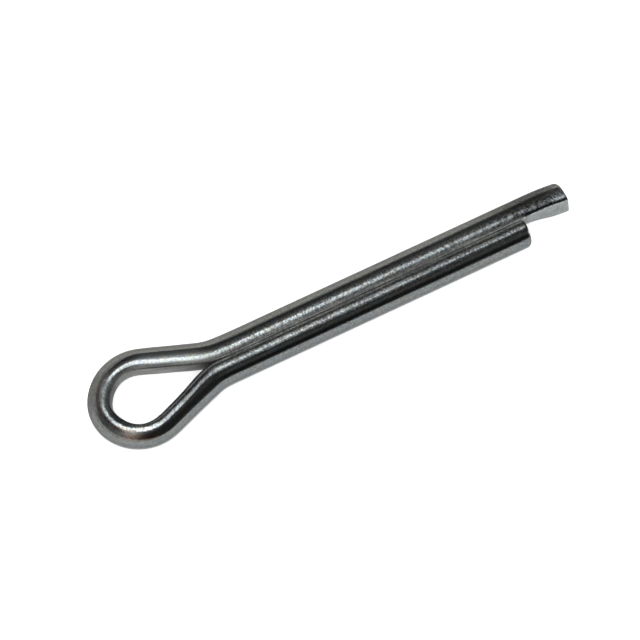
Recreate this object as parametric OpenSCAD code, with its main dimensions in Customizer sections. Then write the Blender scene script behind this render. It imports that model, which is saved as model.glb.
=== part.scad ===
// Cotter pin: one length of half-round wire, folded flat side to flat side.
// The crown is the back of the eye. From there each half of the wire is bent round
// the shoulder, runs down the strand, is bent back out at the neck, and then runs
// straight along its leg. The pin lies flat, with X along the legs to their tips.

/* [Fit] */
// Diameter of the cross hole that the pin is made for
hole_d = 4; // [3.8:0.1:4.4]
// Diameter of the shank, over both legs
shank_d = 3.6; // [3.4:0.05:3.7]

/* [Wire] */
// Gap left between the flat sides of the two legs
leg_gap = 0.1; // [0.06:0.02:0.2]
// Radius of the rounded edges beside the flat
wire_edge_r = 0.45; // [0.2:0.01:0.46]

/* [Legs] */
// Length of the short leg, from where the neck fills the hole
short_leg_l = 25.8; // [12:0.1:60]
// How far the long leg stands past the short one
long_leg_extra = 3.6; // [2:0.1:4]

/* [Eye] */
// Width over the outside of the eye
eye_w = 7.3; // [7:0.1:7.6]
// Inside radius of the crown, at the back of the eye
crown_r = 1.45; // [1:0.05:1.6]
// Angle of the crown on each side of the middle
crown_a = 22; // [15:1:35]
// Slope of the strands to the legs
strand_a = 21; // [18:0.5:26]
// Outside radius of the neck, where the strand turns into the leg
neck_r = 3.7; // [2:0.1:6]

/* [Cut ends] */
// Slant of the short leg's end
short_cut_a = 3; // [0:1:10]
// Radius on the round side of the short leg's end
short_round_r = 0.75; // [0.2:0.05:0.8]
// Radius at the end of the short leg's flat
short_flat_r = 0.3; // [0.1:0.05:0.4]
// Slant of the long leg's sheared end
long_cut_a = 15; // [0:1:20]
// Radius that the shear leaves on the round side of the long leg's end
long_round_r = 0.55; // [0.2:0.05:0.7]
// Radius at the end of the long leg's flat
long_flat_r = 0.2; // [0.1:0.05:0.4]
// Radius on the upper and lower edges of both ends
end_edge_r = 0.4; // [0.1:0.05:0.6]
// Length of the long leg's tip, which the shear presses in
tip_l = 1.6; // [1.5:0.1:2.5]
// Angle of the tip to its leg
tip_a = 5; // [1:1:8]
// Radius of the bend before the tip
tip_r = 12; // [6:1:16]

/* [Hidden] */
$fn = 64;

shank_r = shank_d / 2;
leg_t = shank_r - leg_gap / 2;

// The wire's section stands on its flat: x runs out from the flat and y is up. Its
// round side is the shank's circle, so its centre lies half the gap behind the flat.
edge_x = wire_edge_r;
edge_y = sqrt(pow(shank_r - wire_edge_r, 2) - pow(leg_gap / 2 + wire_edge_r, 2));
edge_a = atan2(edge_y, leg_gap / 2 + wire_edge_r);
wire_h = 2 * (edge_y + wire_edge_r);

// Radii of the bends, measured at the flat. The strand is as long as it takes to
// bring the flat from the eye's width to the leg.
eye_in_y = eye_w / 2 - leg_t;
shoulder_r = (eye_in_y - crown_r * sin(crown_a)) / (1 - sin(crown_a));
neck_flat_r = neck_r + leg_t;
bends_y = (shoulder_r + neck_flat_r) * (1 - cos(strand_a));
strand_l = (eye_in_y - leg_gap / 2 - bends_y) / sin(strand_a);

// Places along X, counted from the flat at the back of the eye
shoulder_x = crown_r + (shoulder_r - crown_r) * cos(crown_a);
neck_x = shoulder_x
    + (shoulder_r + neck_flat_r) * sin(strand_a)
    + strand_l * cos(strand_a);
seat_x = neck_x - neck_r * sin(acos(1 - (hole_d - shank_d) / 2 / neck_r));
short_end_x = seat_x + short_leg_l;
long_end_x = short_end_x + long_leg_extra;
mid_x = (long_end_x - leg_t) / 2;

// The tip is turned in by tip_a, which adds to the slant of its cut. Its reach along
// X is taken at the rounded corner beside the flat, which stands out furthest.
tip_cut_a = long_cut_a + tip_a;
tip_corner_x = tip_l - long_flat_r * (tan(tip_cut_a) + 1 / cos(tip_cut_a));
tip_reach = tip_r * sin(tip_a)
    + tip_corner_x * cos(tip_a)
    + long_flat_r * (sin(tip_a) + 1);

// Every second piece of the wire is this much slimmer all round, and runs on into the
// pieces before and after it, so that the pieces fuse into one solid.
joint_step = 0.002;
joint_lap = 0.01;
// The outlines that round the ends stand this far clear of the wire's sides
end_clear = 0.02;

module wire_section(inset = 0) {
    round_r = shank_r - inset;
    round_x = round_r * cos(edge_a) - leg_gap / 2;
    round_y = round_r * sin(edge_a);
    intersection() {
        translate([-leg_gap / 2, 0]) circle(r = round_r);
        translate([round_x, -shank_r]) square([shank_r, 2 * shank_r]);
    }
    polygon([
        [inset, -edge_y], [edge_x, -edge_y], [round_x, -round_y],
        [round_x, round_y], [edge_x, edge_y], [inset, edge_y]
    ]);
    for (side = [-1, 1])
        translate([edge_x, side * edge_y]) circle(r = wire_edge_r - inset);
}

// A straight length of wire along +X, with its flat in the plane y = 0. What follows
// is placed at its end.
module run(l) {
    rotate([90, 0, 90]) linear_extrude(l) wire_section();
    translate([l, 0, 0]) children();
}

// A bend about a centre on the flat's side of the wire
module bend_in(r, a, slim = false) {
    lap_a = slim ? joint_lap / r * 180 / PI : 0;
    translate([0, -r, 0])
        rotate(90 - a - lap_a)
            rotate_extrude(angle = a + 2 * lap_a)
                translate([r, 0]) wire_section(slim ? joint_step : 0);
    translate([r * sin(a), r * cos(a) - r, 0]) rotate(-a) children();
}

// A bend about a centre on the round side of the wire
module bend_out(r, a, slim = false) {
    lap_a = slim ? joint_lap / r * 180 / PI : 0;
    translate([0, r, 0])
        rotate(-90 - lap_a)
            rotate_extrude(angle = a + 2 * lap_a)
                translate([r, 0]) mirror([1, 0]) wire_section(slim ? joint_step : 0);
    translate([r * sin(a), r - r * cos(a), 0]) rotate(a) children();
}

// Outline of a leg's end, from x = 0 to l and from y = 0 to w. The end slopes back by
// angle a, and its two corners have the radii low_r and high_r.
module end_outline(l, w, a, low_r, high_r) {
    low_x = l - low_r * tan(a) - low_r / cos(a);
    high_x = l - (w - high_r) * tan(a) - high_r / cos(a);
    polygon([
        [0, 0], [low_x, 0], [low_x, low_r],
        [low_x + low_r * cos(a), low_r + low_r * sin(a)],
        [high_x + high_r * cos(a), w - high_r + high_r * sin(a)],
        [high_x, w - high_r], [high_x, w], [0, w]
    ]);
    translate([low_x, low_r]) circle(r = low_r);
    translate([high_x, w - high_r]) circle(r = high_r);
}

// A straight length of wire whose far end is cut off at angle a and rounded, seen from
// above and from the side
module cut_end(l, a, flat_r, round_r) {
    intersection() {
        run(l);
        translate([0, -end_clear, -wire_h])
            linear_extrude(2 * wire_h)
                end_outline(l, leg_t + 2 * end_clear, a, flat_r, round_r);
        translate([0, 2 * leg_t, -wire_h / 2 - end_clear])
            rotate([90, 0, 0])
                linear_extrude(3 * leg_t)
                    end_outline(l, wire_h + 2 * end_clear, 0, end_edge_r, end_edge_r);
    }
}

module crown() {
    translate([crown_r, 0, 0])
        rotate(180 - crown_a)
            rotate_extrude(angle = 2 * crown_a)
                translate([crown_r, 0]) wire_section();
}

// One side of the eye, from the end of the crown to the start of the leg
module eye_side() {
    translate([crown_r, 0, 0])
        rotate(90 - crown_a)
            translate([0, crown_r, 0])
                bend_in(shoulder_r, 90 - crown_a + strand_a, slim = true)
                    run(strand_l)
                        bend_out(neck_flat_r, strand_a, slim = true)
                            children();
}

module short_leg() {
    cut_end(short_end_x - neck_x, short_cut_a, short_flat_r, short_round_r);
}

module long_leg() {
    run(long_end_x - neck_x - tip_reach)
        bend_in(tip_r, tip_a, slim = true)
            cut_end(tip_l, tip_cut_a, long_flat_r, long_round_r);
}

module cotter_pin() {
    color([0.68, 0.68, 0.66])
        translate([-mid_x, 0, wire_h / 2]) {
            crown();
            eye_side() long_leg();
            mirror([0, 1, 0]) eye_side() short_leg();
        }
}

cotter_pin();
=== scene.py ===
# %% [markdown]
# # A cotter pin on a pale table
# A cotter pin is one length of half-round wire, folded flat side to flat side. The fold
# leaves an eye, and the two legs together make a round shank that goes through a hole and
# is then spread. The packed CAD part gives the frame, the box and the solid for physics.
# This lesson sweeps the same wire once more with a finer mesh, gives it a bright zinc
# finish, and lights it as a small object on a pale table.

import bpy
import bmesh
import math
import numpy as np
from mathutils import Matrix, Vector


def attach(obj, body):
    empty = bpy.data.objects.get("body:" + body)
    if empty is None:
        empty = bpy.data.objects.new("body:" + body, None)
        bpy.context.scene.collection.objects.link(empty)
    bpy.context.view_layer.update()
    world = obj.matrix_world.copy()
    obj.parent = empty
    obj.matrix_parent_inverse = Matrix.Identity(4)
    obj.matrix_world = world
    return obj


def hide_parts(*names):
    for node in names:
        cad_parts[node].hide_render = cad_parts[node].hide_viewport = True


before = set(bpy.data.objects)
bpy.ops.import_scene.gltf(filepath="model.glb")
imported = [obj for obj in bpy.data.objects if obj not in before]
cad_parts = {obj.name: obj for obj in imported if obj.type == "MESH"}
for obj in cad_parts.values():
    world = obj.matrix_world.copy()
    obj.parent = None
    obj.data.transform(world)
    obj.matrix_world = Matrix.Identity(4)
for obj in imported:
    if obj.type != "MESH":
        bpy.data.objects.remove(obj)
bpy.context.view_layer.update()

# %% [markdown]
# ## Sizes
# All lengths of the wire are in millimetres, as on a drawing, and `MM` turns them into
# metres when a mesh is made. The sizes follow the CAD part. The two halves of a real pin
# never come out quite alike, so each half has its own bends. Radii are those of the flat
# side, on the inside of the fold, and angles are in degrees.

# %% Sizes of the wire, in millimetres
MM = 0.001
SHANK_R = 1.8
LEG_GAP = 0.04  # between the legs' flats
LEG_T = SHANK_R - LEG_GAP / 2  # thickness of one leg, from its flat to its round side
AXIS_Z = 1.704  # half the height of the wire, which lies on the table
EYE_BACK_X = -17.399  # the flat at the back of the eye
EYE_IN_Y = 1.895  # half the opening of the eye
CROWN_R = 1.45  # the tight bend at the back of the eye
STRAND_A = 20.0  # how steeply the strands run in from the eye
SETTLE_R = 45.0  # the long soft bend that lays one leg against the other
TIP_L, TIP_A, TIP_R = 1.6, 5.0, 12.0  # the long leg's tip: straight end, angle, radius
SHORT_END_X, LONG_END_X = 15.549, 19.149
LEAN_AHEAD = 0.23  # the long leg's cut leans, so its farthest corner is this far ahead
LONG = dict(
    end_x=LONG_END_X + LEAN_AHEAD, flat_y=-0.03, crown_a=27.0, neck_r=5.5, settle_a=2.7, tip=True
)
SHORT = dict(end_x=SHORT_END_X, flat_y=0.05, crown_a=33.0, neck_r=4.2, settle_a=0.8, tip=False)
print("a leg is", LEG_T, "mm thick, and the shank", 2 * SHANK_R, "mm")

# %% [markdown]
# ## The route of the wire
# A wire's route could be drawn by hand as a curve, but its bends would then never be true
# arcs. The simplest true description of a bent wire is its turning: so much curvature over
# so much length. Adding the turns up gives the heading, and adding the headings up gives
# the place. The curvature is blurred a little before it is added up. That rounds off the
# places where one bend meets the next, as a forming tool does, and highlights then run
# through without a kink.

# %% Walk along a list of bends
ROUTE_STEP = 0.02
BEND_BLUR = 0.3


def smooth_step(x, start, end):
    t = np.clip((x - start) / (end - start), 0, 1)
    return t * t * (3 - 2 * t)


def blurred_step(x, at):
    return 0.5 * (1 + np.vectorize(math.erf)((x - at) / (BEND_BLUR * math.sqrt(2))))


def walk(bends):
    """bends: [(length, curvature), ...], from the middle of the crown along one leg."""
    ends = np.cumsum([0] + [length for length, _ in bends])
    along = np.linspace(0, ends[-1], int(ends[-1] / ROUTE_STEP) + 1)
    curve = np.full_like(along, bends[0][1])
    for i in range(1, len(bends)):
        curve += (bends[i][1] - bends[i - 1][1]) * blurred_step(along, ends[i])

    def add_up(values, first):
        steps = (values[1:] + values[:-1]) / 2 * along[1]
        return first + np.concatenate([[0], np.cumsum(steps)])

    heading = add_up(curve, math.pi / 2)
    x, y = add_up(np.cos(heading), EYE_BACK_X), add_up(np.sin(heading), 0)
    return {"along": along, "heading": heading, "x": x, "y": y, "ends": ends}


quarter = walk([(math.pi / 2, -1.0)])
print("a quarter turn of radius 1 ends at y", round(quarter["y"][-1], 3))

# %% One half of the wire, from the crown to a leg's end
STRAND_GUESS, LEG_GUESS = 3.5, 20.0
STUB = 5.0  # enough of a leg to measure where it lies
LEG_BENDS = 6  # the bends up to the straight leg, without its tip
STRAND_ROUNDS, LEG_ROUNDS = 6, 3


def bends_of(half, strand_l, leg):
    crown, slope = math.radians(half["crown_a"]), math.radians(STRAND_A)
    settle, turn = math.radians(half["settle_a"]), math.radians(TIP_A)
    shoulder_r = (EYE_IN_Y - CROWN_R * math.sin(crown)) / (1 - math.sin(crown))
    tip = [(TIP_R * turn, -1 / TIP_R), (TIP_L, 0)] if half["tip"] else []
    return [
        (CROWN_R * crown, -1 / CROWN_R),
        (shoulder_r * (math.pi / 2 - crown + slope), -1 / shoulder_r),
        (strand_l, 0),
        (half["neck_r"] * (slope - settle), 1 / half["neck_r"]),
        (SETTLE_R * settle, 1 / SETTLE_R),
        (leg - sum(length for length, _ in tip), 0),
        *tip,
    ]


def half_wire(half):
    """Fits the strand, so that the leg's flat comes to its place, and then the leg."""
    strand_l, leg = STRAND_GUESS, LEG_GUESS
    for _ in range(STRAND_ROUNDS):
        off = walk(bends_of(half, strand_l, STUB)[:LEG_BENDS])["y"][-1] - half["flat_y"]
        strand_l += off / math.sin(math.radians(STRAND_A))
    for _ in range(LEG_ROUNDS):
        leg += half["end_x"] - walk(bends_of(half, strand_l, leg))["x"][-1]
    made = walk(bends_of(half, strand_l, leg))
    print("strand", round(strand_l, 3), "length", round(made["ends"][-1], 3))
    return made


# %% Both halves joined, counted from the middle of the crown
# The short leg lies on the negative side, mirrored.
long_half = half_wire(LONG)
short_half = half_wire(SHORT)
route = {
    "along": np.concatenate([-short_half["along"][:0:-1], long_half["along"]]),
    "x": np.concatenate([short_half["x"][:0:-1], long_half["x"]]),
    "y": np.concatenate([-short_half["y"][:0:-1], long_half["y"]]),
    "heading": np.concatenate([math.pi - short_half["heading"][:0:-1], long_half["heading"]]),
}
strand_end, neck_end = long_half["ends"][3], long_half["ends"][4]
short_l, long_l = short_half["ends"][-1], long_half["ends"][-1]


def bend(points):
    """Takes points of the straight wire (along, out from the flat, up) round the route."""
    along = points[..., 0]
    inside = np.clip(along, -short_l, long_l)
    beyond = along - inside
    heading = np.interp(inside, route["along"], route["heading"])
    c, s = np.cos(heading), np.sin(heading)
    x = np.interp(inside, route["along"], route["x"]) + beyond * c - points[..., 1] * s
    y = np.interp(inside, route["along"], route["y"]) + beyond * s + points[..., 1] * c
    return np.stack([x, y, points[..., 2] + AXIS_Z], -1)


print("the straight wire is", round(short_l + long_l, 2), "mm long")

# %% [markdown]
# ## The section of the wire
# The wire is rolled to a D: a flat, a round side that follows the shank's circle, and a
# rounded edge where they meet. A circle cut in half would have the right size, but its
# sharp edges catch the light in the wrong place, so the section is built of arcs that meet
# without a corner. It changes along the wire, because a bend presses its inner edges
# fuller and thins the wire. Every section has the same number of points, so the sections
# can be blended, and rings of them join into plain quads.

# %% Points of one section: out from the flat, and up
FLAT_POINTS, CORNER_POINTS, CREST_POINTS, SIDE_POINTS = 8, 6, 8, 22
RING = FLAT_POINTS + 2 * (CORNER_POINTS + 2 * CREST_POINTS + SIDE_POINTS)
SIDE_OUT, SIDE_R, SIDE_Z = LEG_T - 0.035, 1.48, 0.24  # the round side's reach and centre
CORNER_A = 135.0  # where the edge's small arc goes over into the larger one


def arc(centre, radius, start, end, count):
    a = np.linspace(start, end, count + 1)[:-1]
    return np.stack([centre[0] + radius * np.cos(a), centre[1] + radius * np.sin(a)], 1)


def section(top, outer_r, corner_r):
    """top: how far out the highest point lies. The radii are those on both sides of it."""
    turn, side = math.radians(CORNER_A), np.array([SIDE_OUT - SIDE_R, SIDE_Z])
    rise = math.sqrt((SIDE_R - outer_r) ** 2 - (top - side[0]) ** 2)
    outer = np.array([top, SIDE_Z + rise])
    inner_r = corner_r - (top - corner_r) / math.cos(turn)
    inner = outer + (0, outer_r - inner_r)
    corner = inner + (inner_r - corner_r) * np.array([math.cos(turn), math.sin(turn)])
    meet = math.atan2(*(outer - side)[::-1])
    up = np.linspace(-corner[1], corner[1], FLAT_POINTS + 1)[:-1]
    down = (1, -1)
    made = np.concatenate([
        np.stack([0 * up, up], 1),
        arc(corner, corner_r, math.pi, turn, CORNER_POINTS),
        arc(inner, inner_r, turn, math.pi / 2, CREST_POINTS),
        arc(outer, outer_r, math.pi / 2, meet, CREST_POINTS),
        arc(side, SIDE_R, meet, 0, SIDE_POINTS),
        arc(side * down, SIDE_R, 0, -meet, SIDE_POINTS),
        arc(outer * down, outer_r, -meet, -math.pi / 2, CREST_POINTS),
        arc(inner * down, inner_r, -math.pi / 2, -turn, CREST_POINTS),
        arc(corner * down, corner_r, -turn, -math.pi, CORNER_POINTS),
    ])
    return made * (1, AXIS_Z / made[:, 1].max())


# %% The sections that the wire goes through
FAR_FULLER, NEAR_FULLER = (1.0115, 1), (1.027, 1)  # the rolled legs are a little thicker
SECTIONS = {
    "leg": section(0.56, 0.5, 0.5),
    "eye": section(0.58, 0.55, 0.5),
    "shoulder": section(0.5, 0.5, 0.42),
    "far strand": section(0.47, 0.75, 0.4),
    "far leg": section(0.49, 0.5, 0.28) * FAR_FULLER,
    "near leg": section(0.63, 0.12, 0.28) * NEAR_FULLER,
    "tip": section(0.4, 0.35, 0.34) * FAR_FULLER,
}
print("points in a ring:", RING, "sections:", len(SECTIONS))

# %% Stations along the straight wire
LEG_STEP, BEND_STEP, FINE_END = 0.16, 0.09, 3.6
PAST_NECK = 0.6


def stations():
    """Close together in the eye and near the ends, wider on the legs."""
    eye = neck_end + PAST_NECK
    spans = [
        (-short_l, -short_l + FINE_END, BEND_STEP),
        (-short_l + FINE_END, -eye, LEG_STEP),
        (-eye, eye, BEND_STEP),
        (eye, long_l - FINE_END, LEG_STEP),
        (long_l - FINE_END, long_l, BEND_STEP),
    ]
    made = [np.linspace(a, b, round((b - a) / step) + 1)[:-1] for a, b, step in spans]
    return np.concatenate([*made, [long_l]])


print("stations:", len(stations()))

# %% Which section the wire has at each station
def hump(s, at, width):
    """1 at one place on the wire, and fading away on both sides of it."""
    return np.exp(-(((s - at) / width) ** 2))


def on_shoulder(s):
    return hump(np.abs(s), 2.5, 1.1)


def blended_sections(s):
    """Starts from the leg's section, and blends the others in where they belong."""
    shares = [
        ("eye", 1 - smooth_step(np.abs(s), strand_end - 0.5, neck_end)),
        ("far leg", smooth_step(s, 5.0, 7.5)),
        ("near leg", smooth_step(-s, 5.5, 9.5)),
        ("shoulder", on_shoulder(s)),
        ("far strand", hump(s, 5.8, 1.4)),
        ("tip", smooth_step(s, long_l - 3.6, long_l - 2.0)),
    ]
    shape = np.repeat(SECTIONS["leg"][None], len(s), 0)
    for name, share in shares:
        shape += share[:, None, None] * (SECTIONS[name] - shape)
    return shape


print("blended sections:", blended_sections(stations()).shape)

# %% The straight wire: a ring at every station
THIN_BY = 0.09
FULL_PLACES = [(0.14, -8.1, 1.6), (0.075, -0.7, 1.0)]  # how much, where, how wide
NARROW_BY, NARROW_AT, NARROW_WIDTH = 0.03, 3.0, 1.6


def straight_wire():
    s = stations()
    shape = blended_sections(s)
    out = shape[:, :, 0]
    # the shoulders are thinner on the flat's side, and two other places are fuller there
    out += THIN_BY * on_shoulder(s)[:, None] * (1 - out / LEG_T)
    full = sum(by * hump(s, at, width) for by, at, width in FULL_PLACES)
    out -= full[:, None] * (1 - out / LEG_T)
    out -= NARROW_BY * hump(s, NARROW_AT, NARROW_WIDTH)[:, None] * out / LEG_T
    along = np.repeat(s[:, None], RING, 1)
    return np.concatenate([along[:, :, None], shape], 2)


wire = straight_wire()
print("rings:", len(wire), "vertices:", wire.shape[0] * wire.shape[1])

# %% [markdown]
# ## The cut ends
# The legs are sheared off. The blade rounds the side where it enters and leaves a leaning
# face. A Boolean cut and a bevel would give the right outline with ragged faces at the
# rim. In the straight wire the ends are easy to shape from rings: the last rings slide back
# to follow the slant, a few more rings turn inwards on a quarter circle, and the rest
# close the face.

# %% The way in which an outline moves inwards
def outward(points):
    """Unit normals of closed sections, from each point's neighbours."""
    t = np.roll(points, -1, -2) - np.roll(points, 1, -2)
    t /= np.linalg.norm(t, axis=-1)[..., None]
    return np.stack([-t[..., 1], t[..., 0]], -1)


def even_outward(ring, reach=0.14):
    """Normals averaged along the outline, so that an outline moved inwards never folds."""
    step = np.linalg.norm(np.roll(ring, -1, 0) - ring, axis=1)
    at = np.cumsum(step) - step
    apart = np.abs(at[:, None] - at)
    apart = np.minimum(apart, step.sum() - apart)
    weight = np.exp(-((apart / reach) ** 2)) * (step + np.roll(step, 1))
    normal = weight @ outward(ring)
    return normal / np.linalg.norm(normal, axis=1)[:, None]


rim = wire[-1, :, 1:]
moved = np.abs(even_outward(rim) - outward(rim)).max()
print("averaging moves a normal by at most", round(moved, 2))

# %% Round and close an end
END_RINGS, FACE_RINGS = 9, 5
SLIDE = 2.4  # the length over which rings slide back to follow the slant
FACE_DOME = 0.04
LONG_CUT = dict(slant=8.0, lean=0.26, round_r=0.4, edge_r=0.08, flat_r=0.05)
SHORT_CUT = dict(slant=0.0, lean=0.0, round_r=0.3, edge_r=0.15, flat_r=0.25)


def close_end(rings, end, slant, lean, round_r, edge_r, flat_r):
    """rings: the wire up to `end`, last ring there. Returns them slid back, and the new rings.

    slant, in degrees, cuts the round side back, and lean the upper edge, in millimetres. The
    radii round the rim at the round side, at the two edges and at the flat.
    """
    sign = 1 if end > 0 else -1
    ring = rings[-1, :, 1:]
    normal = even_outward(ring)
    side_r = np.where(normal[:, 0] > 0, round_r, flat_r)
    radius = edge_r + (side_r - edge_r) * normal[:, 0] ** 2
    slope = math.tan(math.radians(slant))

    def cut_back(points):
        return slope * np.maximum(points[:, 0], 0) + lean * (points[:, 1] / (2 * AXIS_Z) + 0.5)

    back = radius + cut_back(ring)
    share = np.clip(1 - sign * (end - rings[:, :, 0]) / SLIDE, 0, 1)
    rings[:, :, 0] -= sign * back[None] * share
    new = []
    for turn in np.linspace(0, math.pi / 2, END_RINGS + 1)[1:]:
        r = ring - normal * (radius * (1 - math.cos(turn)))[:, None]
        a = end - sign * (cut_back(r) + radius * (1 - math.sin(turn)))
        new.append(np.concatenate([a[:, None], r], 1))
    face = new[-1]
    middle = face.mean(0)
    for k in np.linspace(1, 0, FACE_RINGS + 1)[1:]:
        r = middle + (face - middle) * k
        r[:, 0] += sign * FACE_DOME * (1 - k * k)
        new.append(r)
    return rings, np.array(new)


wire, long_face = close_end(wire, long_l, **LONG_CUT)
wire_back, short_face = close_end(wire[::-1], -short_l, **SHORT_CUT)
wire = np.concatenate([short_face[::-1], wire_back[::-1], long_face])
print("with ends:", wire.shape)

# %% The lip that the shear leaves on the long leg's tip
# It hangs from the lower edge of the flat, grows towards the tip and is worn at its end.
LIP, LIP_START, LIP_FULL = 0.26, 3.4, 1.0
LIP_ROUND, LIP_WORN = 0.25, 0.15
LIP_HALF_H = 1.25
LIP_NEAR, LIP_FAR = 0.1, 1.5


def lip(points):
    from_tip = np.maximum(long_l - points[..., 0], 0)
    grows = 1 - smooth_step(from_tip, LIP_FULL, LIP_START)
    round_off = np.sqrt(1 - (1 - np.minimum(from_tip / LIP_ROUND, 1)) ** 2)
    worn = 1 - LIP_WORN + LIP_WORN * round_off
    low = np.clip((LIP_HALF_H - points[..., 2]) / (2 * LIP_HALF_H), 0, 1)
    near_flat = 1 - smooth_step(points[..., 1], LIP_NEAR, LIP_FAR)
    return LIP * grows * worn * low * near_flat


wire[..., 1] -= lip(wire)
print("the lip stands out by", round(lip(wire).max(), 2), "mm")

# %% [markdown]
# ## From rings to a mesh
# A curve with a bevel would also sweep a section along a route, but only one section for
# the whole wire. Here each ring joins the next with quads. Every vertex also keeps its
# place on the straight wire as an attribute, which the finish reads. The last ring of an
# end lies in one point, so the vertices that coincide are merged.

# %% Make a mesh of the rings
MERGE = 0.002 * MM


def wire_mesh(name, straight):
    placed = bend(straight) * MM
    count = len(placed)
    corner = np.arange(count * RING).reshape(count, RING)
    a, b = corner[:-1], corner[1:]
    quads = np.stack([a, np.roll(a, -1, 1), np.roll(b, -1, 1), b], -1).reshape(-1, 4)
    mesh = bpy.data.meshes.new(name)
    mesh.from_pydata(placed.reshape(-1, 3).tolist(), [], quads.tolist())
    made = mesh.attributes.new("straight", "FLOAT_VECTOR", "POINT")
    made.data.foreach_set("vector", straight.reshape(-1, 3).astype(np.float32).ravel())
    return mesh


mesh = wire_mesh("cotter_pin_wire", wire)
bm = bmesh.new()
bm.from_mesh(mesh)
bmesh.ops.remove_doubles(bm, verts=bm.verts, dist=MERGE)
bmesh.ops.recalc_face_normals(bm, faces=bm.faces)
volume = bm.calc_volume(signed=True)
bm.to_mesh(mesh)
bm.free()
mesh.polygons.foreach_set("use_smooth", [True] * len(mesh.polygons))
pin = bpy.data.objects.new("cotter_pin_wire", mesh)
bpy.context.scene.collection.objects.link(pin)
print("volume in mm3:", round(volume / MM**3, 2), "faces:", len(mesh.polygons))

# %% [markdown]
# ## A small way to write shader maths
# A finish is a tree of nodes. Its arithmetic could be written out node by node, but nobody
# can read that any more. Here a wrapped socket takes part in Python expressions, and each
# operation adds its Math node, so `1 - mask` works as it does on numbers.

# %% Sockets that can be added and multiplied
class Maths:
    def __init__(self, tree, socket):
        self.tree, self.socket = tree, socket

    def output(self, name):
        """Another output of the same node, by its name or number."""
        return Maths(self.tree, self.socket.node.outputs[name])

    def apply(self, operation, *others, swapped=False, clamp=False):
        made = self.tree.nodes.new("ShaderNodeMath")
        made.operation, made.use_clamp = operation, clamp
        terms = [self, *others]
        for slot, term in zip(made.inputs, terms[::-1] if swapped else terms):
            if isinstance(term, Maths):
                self.tree.links.new(term.socket, slot)
            else:
                slot.default_value = term
        return Maths(self.tree, made.outputs[0])

    def __add__(self, other):
        return self.apply("ADD", other)

    def __sub__(self, other):
        return self.apply("SUBTRACT", other)

    def __rsub__(self, other):
        return self.apply("SUBTRACT", other, swapped=True)

    def __mul__(self, other):
        return self.apply("MULTIPLY", other)

    def __truediv__(self, other):
        return self.apply("DIVIDE", other)

    def __rtruediv__(self, other):
        return self.apply("DIVIDE", other, swapped=True)

    def __pow__(self, other):
        return self.apply("POWER", other)

    def __rpow__(self, other):
        return self.apply("POWER", other, swapped=True)

    def __abs__(self):
        return self.apply("ABSOLUTE")

    __radd__, __rmul__ = __add__, __mul__


print("reflected operators:", [name for name in vars(Maths) if name.startswith("__r")])

# %% Nodes of a material or a world
class Finish:
    """Clears the nodes of a material or a world, and adds new ones."""

    def __init__(self, owner):
        owner.use_nodes = True
        self.owner, self.tree = owner, owner.node_tree
        self.tree.nodes.clear()

    def add(self, kind, settings=None, **sockets):
        """One node: its type, then its settings, then its sockets by name, or _0, _1, ..."""
        made = self.tree.nodes.new(kind)
        for key, value in (settings or {}).items():
            setattr(made, key, value)
        for key, value in sockets.items():
            number = key[0] == "_"
            slot = made.inputs[int(key[1:]) if number else key.replace("_", " ")]
            if isinstance(value, Maths):
                self.tree.links.new(value.socket, slot)
            else:
                slot.default_value = value
        return Maths(self.tree, made.outputs[0]) if made.outputs else None

    def fade(self, value, start, end, low, high):
        """low up to start, high from end on, and smoothly from one to the other between."""
        settings = {"interpolation_type": "SMOOTHSTEP"}
        sockets = dict(_0=value, _1=start, _2=end, _3=low, _4=high)
        return self.add("ShaderNodeMapRange", settings, **sockets)


print("ways to add nodes:", [name for name in vars(Finish) if name[0] != "_"])

# %% [markdown]
# ## Zinc plate on drawn wire
# The wire is steel, rolled and drawn, with a bright zinc plate. The plate is nearly a
# mirror, so most of what shows on it is the room, as pale and dark bands along the wire.
# The plate adds a faint blue or warm tone, lines from drawing, a duller plate where the two
# legs face each other, and a few brown stains, one in the eye. Light and shade are painted
# into its colour as well: beads and a changing strength in the line of light on the crest, a
# second line and a dark band on the near leg, paler inner edges and gap for light bounced
# between the legs, a paler reflection on the tip's flat, a darker far side, a dark reflected
# line round the crown, and shade towards the long leg's tip.
#
# An image of metal, wrapped round the wire, would stretch in the bends and smear at the
# ends. Here every part of the finish is a noise or a soft band, in millimetres of the
# straight wire. The finish then follows the wire round the eye, as the marks of rolling
# and drawing do.

# %% Where a point lies on the straight wire
zinc = Finish(bpy.data.materials.new("zinc_plate"))
fade = zinc.fade
place = zinc.add("ShaderNodeAttribute", {"attribute_name": "straight"}).output("Vector")
along = zinc.add("ShaderNodeSeparateXYZ", _0=place)
out = along.output("Y")
print("read from the mesh:", place.socket.node.attribute_name)

# %% Noises, each with its waves a millimetre along and across the wire
def noise(per_along, per_across, detail, offset=0.0):
    moved = zinc.add(
        "ShaderNodeVectorMath",
        {"operation": "MULTIPLY_ADD"},
        _0=place,
        _1=(per_along, per_across, per_across),
        _2=(offset, offset, offset),
    )
    settings = {"noise_dimensions": "3D"}
    return zinc.add("ShaderNodeTexNoise", settings, Vector=moved, Scale=1.0, Detail=detail)


draw = noise(0.3, 5.0, 2.0)  # long lines from the drawing die
grain = noise(6.0, 7.0, 2.0)
bead = noise(8.0, 5.0, 3.0, offset=19.0)
cloud = noise(0.9, 1.4, 4.0)
film = noise(1.3, 2.2, 3.0, offset=7.0)
stain = noise(0.7, 1.1, 3.0, offset=31.0)
print("nodes so far:", len(zinc.tree.nodes))

# %% Parts of the wire
# The near half of the wire is the short leg's, below zero, and the far half the long one's.
CREST = 0.5  # how far out from the flat the top of the wire lies
LEGS_PART = (long_l - 4.2, long_l - 3.4)  # from here on nothing faces the long leg


def spot(value, at, start, end, here, elsewhere):
    """here at a place and up to start from it, and elsewhere from end on."""
    return fade(abs(value - at), start, end, here, elsewhere)


def halves(near, far):
    return fade(along, -1.0, 1.0, near, far)


def only_on(mask, factor):
    """The factor where the mask is 1, and 1 where it is 0."""
    return (factor - 1.0) * mask + 1.0


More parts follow.
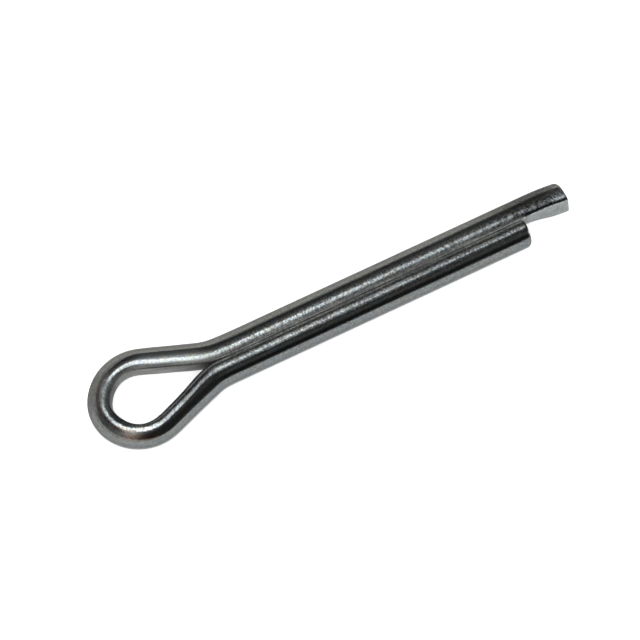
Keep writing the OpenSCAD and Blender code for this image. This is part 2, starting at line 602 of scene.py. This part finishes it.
from_crown = abs(along)
on_leg = fade(from_crown, strand_end + 0.5, neck_end + 1.0, 0.0, 1.0)
on_far_strand = fade(along, 1.0, 2.6, 0.0, 0.8)
near_leg = fade(along, -10.0, -8.0, 1.0, 0.0)
faced = fade(along, *LEGS_PART, 1.0, 0.0)
inner = on_leg.apply("MAXIMUM", on_far_strand) * halves(0.7, 1.0)
print("the legs part", round(long_l - LEGS_PART[0], 1), "mm before the long leg's tip")

# %% [markdown]
# ### How dull the plate is
# Plate is brightest where it was rubbed. In the groove between the legs it stays as dull as
# it left the bath, and it is a little blunt at the tip and hazy along the legs. Roughness
# is a sum of such small amounts, because each then has its own place and strength.

# %% Roughness
BRIGHT, CLOUDY, DULL = 0.06, 0.12, 0.45
dull = fade(out, 0.2, 0.5, 1.0, 0.0) * inner * faced * halves(0.5, 1.0)
patch = spot(along, 1.1, 0.4, 1.4, 0.4, 0.0)  # a dull place on the crown's far side
blunt_tip = fade(along, long_l - 5.0, long_l - 2.5, 0.0, 0.06) * fade(out, 0.02, 0.15, 0.0, 1.0)
haze = fade(from_crown, 12.0, 36.0, 0.0, 0.04)
roughness = cloud * CLOUDY + BRIGHT + dull * DULL + patch + blunt_tip + haze
print("roughness from", BRIGHT, "on the bright plate; the film adds up to", DULL)

# %% [markdown]
# ### The colour of the plate
# A metal's base colour is the share of light that it mirrors. This plate is dark beside
# polished silver, and bluish with a warm film in places. One flat colour would look like
# paint, so tints are mixed over each other, each with its own mask.

# %% Tones of the bright plate, and a painted reflection on the far side
PLATE = (0.152, 0.165, 0.166)
WARM_FILM = (0.163, 0.166, 0.153)
BLUE_CLOUD = (0.158, 0.162, 0.176)
TARNISH = (0.17, 0.12, 0.09)
PAINTED_FAR_REFLECTION = (0.136, 0.132, 0.116)


def tinted(colour, share, tint):
    sockets = dict(_0=share, _6=colour, _7=(*tint, 1))
    return zinc.add("ShaderNodeMix", {"data_type": "RGBA"}, **sockets).output(2)


colour = tinted((*PLATE, 1), fade(film, 0.42, 0.62, 0.0, 1.0), WARM_FILM)
colour = tinted(colour, fade(cloud, 0.5, 0.68, 0.0, 0.6), BLUE_CLOUD)
colour = tinted(colour, fade(stain, 0.64, 0.78, 0.0, 0.3), TARNISH)
# painted reflection: the far half's outer side is darker and warmer, standing in for a dimmer,
# warmer room mirrored there
painted_far_reflection_mask = fade(along, -2.0, 2.0, 0.0, 0.8) * fade(out, 0.9, 1.5, 0.0, 1.0)
colour = tinted(colour, painted_far_reflection_mask, PAINTED_FAR_REFLECTION)
print("nodes so far:", len(zinc.tree.nodes))

# %% Painted light: paler inner edges and gap between the legs, and a painted reflection on the tip's flat
PAINTED_BOUNCE_LIGHT, PAINTED_GAP_LIGHT, PAINTED_TIP_REFLECTION = (0.4, 0.395, 0.375), (0.6, 0.61, 0.59), (0.3, 0.33, 0.32)
# painted light: the inner edges where the legs face each other are paler, standing in for light
# bounced between the legs
painted_bounce_edge = halves(0.34, 0.38)
pale = fade(out, 0.08, painted_bounce_edge, 1.0, 0.0) * inner * faced
colour = tinted(colour, pale * fade(draw, 0.42, 0.58, 0.25, 1.2), PAINTED_BOUNCE_LIGHT)
# painted light: the gap between the legs is paler, filling the shade that falls in it
in_gap = fade(out, 0.04, 0.14, 0.9, 0.0) * on_leg * faced
colour = tinted(colour, in_gap * fade(draw, 0.35, 0.65, 0.4, 1.0), PAINTED_GAP_LIGHT)
# painted reflection: the long leg's flat beyond the short leg is paler, as a brighter mirror
# image of the table
tip_flat = fade(along, short_l + 0.2, short_l + 0.8, 0.0, 1.0) * fade(out, 0.02, 0.08, 1.0, 0.0)
colour = tinted(colour, tip_flat * fade(film, 0.3, 0.6, 0.75, 1.1), PAINTED_TIP_REFLECTION)
print("nodes so far:", len(zinc.tree.nodes))

# %% A brown stain in the eye, and a painted reflection round the crown
BROWN, PAINTED_HORIZON_DARK = (0.24, 0.16, 0.11), (0.065, 0.043, 0.034)
# a soft patch on the near shoulder
brown = spot(along, -2.4, 0.5, 1.5, 0.7, 0.0) * spot(out, 1.1, 0.1, 0.35, 1.0, 0.0)
colour = tinted(colour, brown * fade(stain, 0.4, 0.6, 0.2, 1.0), BROWN)
# painted reflection: a thin dark line round the crown, a little askew, standing in for the dark
# room mirrored where the pale band ends
line = spot(out - along * 0.07, 0.85, 0.06, 0.2, 0.8, 0.0) * fade(from_crown, 1.6, 2.8, 1.0, 0.0)
line = line * spot(along, -0.4, 0.2, 0.8, 0.3, 1.0) * fade(cloud, 0.35, 0.6, 0.7, 1.1)
colour = tinted(colour, line, PAINTED_HORIZON_DARK)
print("nodes so far:", len(zinc.tree.nodes))

# %% [markdown]
# ### Light and dark on the crest
# The crest mirrors the lamp, and the line of light on it isn't even: it breaks up into
# beads, is stronger on the bends, and has a second line beside it on the near leg. Bump
# alone could break it up, but it gets noisy in small renders. So all of this is painted into
# the plate's colour: the share of light it mirrors is raised where the line of light should
# be brighter and lowered where it should be darker.

# %% Beads, a painted highlight
# The bead noise is painted into the crest's colour, so that the line of light breaks up. It
# is faint on the far neck and stands out most on the legs.
painted_bead_mask = spot(out, CREST, 0.2, 0.5, 1.0, 0.4) * fade(from_crown, 8.0, 12.0, 1.0, 1.6)
painted_bead_mask = painted_bead_mask * spot(along, 6.5, 1.8, 4.8, 0.25, 0.7)
painted_bead_mask = painted_bead_mask * fade(along, long_l - 8.0, long_l - 4.0, 1.0, 1.5)
painted_beads = only_on(painted_bead_mask, fade(bead, 0.38, 0.6, 0.6, 1.35))
print("nodes so far:", len(zinc.tree.nodes))

# %% Painted highlight: how strong the line of light is
# The crest's colour is scaled, so that the painted line of light is weaker on the near leg
# and towards the ends, and stronger on the bends.
strength = fade(along, -7.0, -4.5, 0.52, 1.0) * fade(from_crown, 10.0, 30.0, 1.0, 0.6)
strength = strength * spot(along, -2.2, 0.6, 1.7, 1.5, 0.85)
strength = strength * spot(along, 5.0, 2.5, 4.5, 1.4, 1.0)
# painted highlight: on the near leg the crest is brighter inside and darker outside, so that its
# line of light ends sharply
painted_near_crest = fade(out, 0.6, 0.76, 1.5, 0.5) * fade(out, 0.36, 0.56, 1.6, 1.0)
strength = strength * only_on(near_leg, painted_near_crest)
print("nodes so far:", len(zinc.tree.nodes))

# %% The painted second line and dark band on the near leg, painted shade on the tip, and all of it together
# painted light and shade: a second bright line beside the near leg's crest and a darker band
# below it, with a grain of random tone
painted_second_line = spot(out, 1.03, 0.03, 0.14, 2.8, 1.0) * spot(out, 1.3, 0.06, 0.16, 0.5, 1.0)
painted_second_line = only_on(near_leg, painted_second_line) * fade(grain, 0.35, 0.65, 0.88, 1.12)
# painted shade: the round side of the long leg darkens towards its tip, where its line of light
# fades
painted_tip_shade = fade(along, long_l - 8.0, long_l - 3.0, 0.0, 0.5) * fade(out, 0.03, 0.15, 0.0, 1.0)
painted_tip_shade = painted_tip_shade * fade(along, long_l - 1.8, long_l - 0.6, 1.0, 0.2)
on_crest = spot(out, CREST, 0.2, 0.45, 1.0, 0.0)
shade = painted_beads * painted_second_line * (1.0 - painted_tip_shade) * only_on(on_crest, strength)
colour = zinc.add("ShaderNodeVectorMath", {"operation": "SCALE"}, _0=colour, _3=shade)
print("nodes so far:", len(zinc.tree.nodes))

# %% [markdown]
# ### Lines and grain that stand out
# Drawing leaves shallow grooves along the wire and rolling a fine grain. They are far too
# shallow for geometry, so a Bump node bends the light instead. Both noises are centred on
# zero first, because a band that fades an uncentred noise would tilt the whole surface.

# %% Bump, and the shader itself
BUMP_DEPTH = 0.03 * MM
DRAW_DEPTH, GRAIN_DEPTH = 0.3, 0.4
rubbed = spot(along, 5.0, 1.2, 3.5, 0.4, 1.0)
rougher = fade(from_crown, 10.0, 30.0, 1.0, 1.4)
height = (draw - 0.5) * DRAW_DEPTH + (grain - 0.5) * GRAIN_DEPTH
height = height * rubbed * rougher * fade(out, 0.5, 0.75, 1.0, 0.3)
surface = zinc.add(
    "ShaderNodeBsdfPrincipled",
    Metallic=1.0,
    Specular_Tint=(0.5, 0.5, 0.5, 1),
    Roughness=roughness,
    Base_Color=colour,
    Normal=zinc.add("ShaderNodeBump", Strength=1.0, Distance=BUMP_DEPTH, Height=height),
)
zinc.add("ShaderNodeOutputMaterial", Surface=surface)
pin.data.materials.append(zinc.owner)
print("nodes in the finish:", len(zinc.tree.nodes))

# %% Put the wire in the place of the CAD part
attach(pin, "root")
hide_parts("cotter_pin")
print("the wire stands for cotter_pin")

# %% [markdown]
# ## The table
# The pin lies on a pale matte table. Lighting the table until it is white would burn out
# the metal as well. So the table adds a glow that only the camera, mirrors and glass see,
# and it still takes the pin's soft shadow.

# %% The table
GLOW = 0.6
TABLE_R, TABLE_Z = 1.5, -0.02 * MM
white = Finish(bpy.data.materials.new("pale_table"))
paint = white.add("ShaderNodeBsdfPrincipled", Base_Color=(0.9, 0.9, 0.9, 1), Roughness=0.9)
seen = white.add("ShaderNodeLightPath")
looks = seen.output("Is Camera Ray") + seen.output("Is Glossy Ray")
looks = looks.apply("ADD", seen.output("Is Transmission Ray"), clamp=True)
glow = white.add("ShaderNodeEmission", Color=(1, 1, 1, 1), Strength=looks * GLOW)
white.add("ShaderNodeOutputMaterial", Surface=white.add("ShaderNodeAddShader", _0=paint, _1=glow))

bpy.ops.mesh.primitive_circle_add(
    vertices=96, radius=TABLE_R, fill_type="NGON", location=(0, 0, TABLE_Z)
)
table = bpy.context.object
table.name = "table"
table.data.materials.append(white.owner)
print("table:", 2 * TABLE_R, "m across")

# %% [markdown]
# ## The lamp and the room
# Bright metal shows its surroundings more than itself, so the room is lit for its mirror
# image. One softbox overhead draws the line of light on the crest. The rest of a studio,
# with its cards, its dark gaps and the far edge of the table, could be built from planes.
# As soft patches in the world they are one line each, cast no shadows and have no hard
# edges. Directions are given as they look from the camera: right, up, and back towards it.

# %% Directions of the view
VIEW_AZ, VIEW_EL = math.radians(-25.17), math.radians(80.3)
RIGHT = np.array([math.cos(VIEW_AZ), math.sin(VIEW_AZ), 0])
AWAY = np.array([-math.sin(VIEW_AZ), math.cos(VIEW_AZ), 0])  # level, away from the camera
BACK = np.array([0, 0, math.sin(VIEW_EL)]) - AWAY * math.cos(VIEW_EL)
UP = np.cross(BACK, RIGHT)
print("the camera looks down at", round(math.degrees(VIEW_EL), 1), "degrees")

# %% The softbox
LAMP_RIGHT, LAMP_AWAY = math.radians(6.0), math.radians(-1.0)  # lean from straight up
LAMP_REACH, LAMP_WIDTH, LAMP_DEPTH = 0.6, 0.25, 0.55
LAMP_RADIANCE = 3.9
lamp = bpy.data.lights.new("overhead", "AREA")
lamp.shape, lamp.size, lamp.size_y = "RECTANGLE", LAMP_WIDTH, LAMP_DEPTH
lamp.energy = LAMP_RADIANCE * math.pi * LAMP_WIDTH * LAMP_DEPTH
lamp.color = (0.95, 1.0, 1.05)
overhead = bpy.data.objects.new("overhead", lamp)
facing = RIGHT * math.tan(LAMP_RIGHT) + AWAY * math.tan(LAMP_AWAY) + np.array([0, 0, 1])
facing /= np.linalg.norm(facing)
side = RIGHT - facing * (RIGHT @ facing)
side /= np.linalg.norm(side)
turned = Matrix([[*side], [*np.cross(facing, side)], [*facing]]).transposed()
overhead.matrix_world = turned.to_4x4()
overhead.location = facing * LAMP_REACH
overhead.visible_camera = False
bpy.context.scene.collection.objects.link(overhead)
print("lamp power in W:", round(lamp.energy, 2))

# %% The pale surroundings: everything below a tilted horizon, and a card on the left
HORIZON_TILT, HORIZON_TURN, HORIZON_SOFT = (math.radians(v) for v in (17, 45, 3))
CARD_TURN, CARD_RISE, CARD_FULL, CARD_EDGE = (math.radians(v) for v in (155, -30, 55, 61))
studio = Finish(bpy.data.worlds.new("studio"))
look = studio.add("ShaderNodeTexCoord").output("Generated")


def cosine(axis):
    """The cosine between the direction of a ray and an axis."""
    settings = {"operation": "DOT_PRODUCT"}
    return studio.add("ShaderNodeVectorMath", settings, _0=look, _1=tuple(axis)).output("Value")


def level(turn):
    return RIGHT * math.cos(turn) + AWAY * math.sin(turn)


def rise(height):
    return np.array([0, 0, height])


tilted = level(HORIZON_TURN) * math.sin(HORIZON_TILT) + rise(math.cos(HORIZON_TILT))
soft = math.sin(HORIZON_SOFT)
below = studio.fade(cosine(tilted), -soft, soft, 1.0, 0.0)
card = rise(math.sin(CARD_RISE)) + level(CARD_TURN) * math.cos(CARD_RISE)
card = studio.fade(cosine(card), math.cos(CARD_EDGE), math.cos(CARD_FULL), 0.0, 1.0)
pale_room = below.apply("MAXIMUM", card)
print("nodes in the room:", len(studio.tree.nodes))

# %% The dim part of the room, with three darker patches
ROOM_LEVEL = 0.38
DARK = [  # degrees right and up, the cosines of its edge and its middle, what is left there
    (28, -52, 0.79, 0.95, 0.2),
    (-42, 85, 0.82, 0.96, 0.4),
    (4, 78, 0.72, 0.96, 0.45),
]


def toward(across, up):
    """The direction seen `across` degrees right and `up` degrees up of straight back."""
    u, v = math.radians(across), math.radians(up)
    return RIGHT * math.sin(u) + UP * math.cos(u) * math.sin(v) + BACK * math.cos(u) * math.cos(v)


darker = [
    studio.fade(cosine(toward(across, up)), edge, middle, 1.0, left)
    for across, up, edge, middle, left in DARK
]
dim = darker[0] * darker[1] * darker[2] * ROOM_LEVEL
print("dark patches:", len(darker))

# %% The bright patches
BRIGHT_PATCHES = [  # its place and width to the right, its place and width up, its strength
    (-0.1, 0.08, 0.52, 0.25, 4.6),
    (-0.21, 0.1, 0.42, 0.25, 2.6),
    (-0.02, 0.08, 0.82, 0.17, 0.4),
    (-0.17, 0.11, -0.1, 0.3, 6.0),
    (-0.25, 0.2, -0.65, 0.25, 0.8),
]
right, up = cosine(RIGHT), cosine(UP)


def bright(at_right, width, at_up, height, strength):
    apart = ((right - at_right) / width) ** 2 + ((up - at_up) / height) ** 2
    return (apart * -1).apply("EXPONENT") * strength


glows = [bright(*patch) for patch in BRIGHT_PATCHES]
light = dim + sum(glows[1:], glows[0]) + pale_room
studio.add("ShaderNodeOutputWorld", Surface=studio.add("ShaderNodeBackground", Strength=light))
bpy.context.scene.world = studio.owner
print("nodes in the room:", len(studio.tree.nodes))

# %% [markdown]
# ## The camera
# It stands close above the pin and looks almost straight down, so that both legs and the
# opening of the eye show. It could be framed by hand, but then every change of distance
# would change the scale. So the focal length is worked out from the pixels that a
# millimetre should cover at the point aimed at. Depth of field stays off.

# %% The camera
DISTANCE, PX_PER_MM = 0.218, 13.7
SENSOR_MM, IMAGE_PX = 36, 640
AIM = np.array([-0.941, -0.27, AXIS_Z]) * MM
camera = bpy.data.objects.new("camera", bpy.data.cameras.new("camera"))
camera.data.sensor_width = SENSOR_MM
camera.data.lens = SENSOR_MM * PX_PER_MM * DISTANCE * 1000 / IMAGE_PX
camera.data.clip_start, camera.data.clip_end = 0.01, 10
camera.location = AIM + BACK * DISTANCE
camera.rotation_mode = "QUATERNION"
camera.rotation_quaternion = Vector(-BACK).to_track_quat("-Z", "Y")
bpy.context.scene.collection.objects.link(camera)
bpy.context.scene.camera = camera
bpy.context.scene.view_settings.view_transform = "Standard"
print("lens in mm:", round(camera.data.lens, 1))

# %% [markdown]
# ## The box of the wire
# The look may add detail but not size. Only the lower corner of the leaning tip stands out
# of the CAD part's box, by a fifth of a millimetre.
